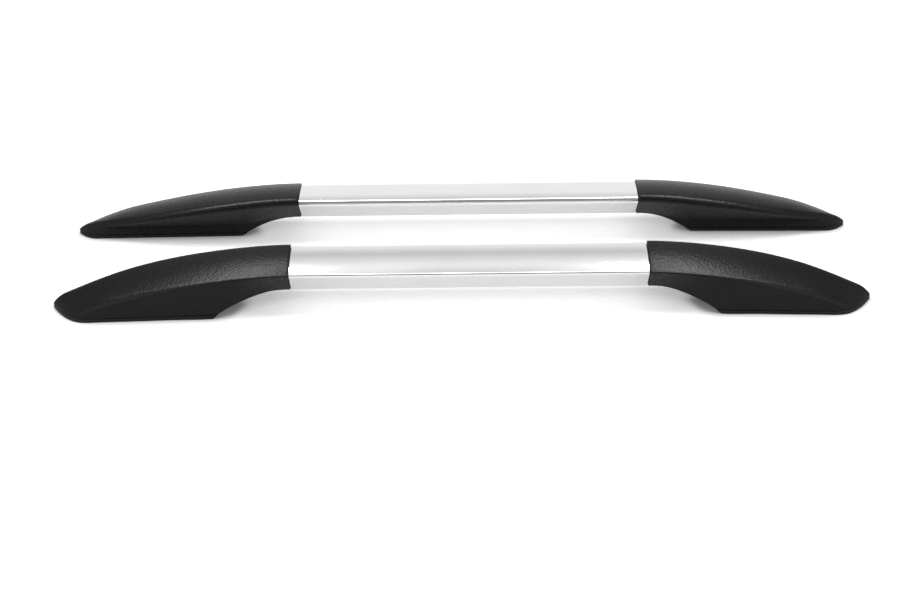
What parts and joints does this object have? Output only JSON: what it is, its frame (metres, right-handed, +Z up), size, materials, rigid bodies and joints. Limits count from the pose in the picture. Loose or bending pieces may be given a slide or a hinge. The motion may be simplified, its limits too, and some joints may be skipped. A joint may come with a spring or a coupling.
{
  "type": "roof side rail pair",
  "caption": "Pair of vehicle roof side rails: satin aluminium tubes with a creased outer edge on long swept black moulded feet, bolted to a roof to carry cross bars or lashings.",
  "frame": {"origin": "midway between the two rails and between their ends, on the roof plane under the gaskets", "axes": "+X along the rails towards the rear, +Y from the left rail to the right rail, +Z up from the roof"},
  "size_m": [1, 0.2392, 0.0676],
  "materials": {
    "anodised_aluminium": "satin anodised",
    "black_plastic": "fine-grain moulded",
    "gasket_rubber": "matt",
    "zinc_steel": "zinc plated"
  },
  "bodies": {
    "root": {"left_rail_profile": "anodised_aluminium", "left_front_foot": "black_plastic", "left_front_gasket": "gasket_rubber", "left_front_mounting_plate": "zinc_steel", "left_front_plate_screws": "zinc_steel", "left_front_tube_screws": "zinc_steel", "left_front_mounting_nuts": "zinc_steel", "left_rear_foot": "black_plastic", "left_rear_gasket": "gasket_rubber", "left_rear_mounting_plate": "zinc_steel", "left_rear_plate_screws": "zinc_steel", "left_rear_tube_screws": "zinc_steel", "left_rear_mounting_nuts": "zinc_steel", "right_rail_profile": "anodised_aluminium", "right_front_foot": "black_plastic", "right_front_gasket": "gasket_rubber", "right_front_mounting_plate": "zinc_steel", "right_front_plate_screws": "zinc_steel", "right_front_tube_screws": "zinc_steel", "right_front_mounting_nuts": "zinc_steel", "right_rear_foot": "black_plastic", "right_rear_gasket": "gasket_rubber", "right_rear_mounting_plate": "zinc_steel", "right_rear_plate_screws": "zinc_steel", "right_rear_tube_screws": "zinc_steel", "right_rear_mounting_nuts": "zinc_steel"}
  },
  "joints": []
}
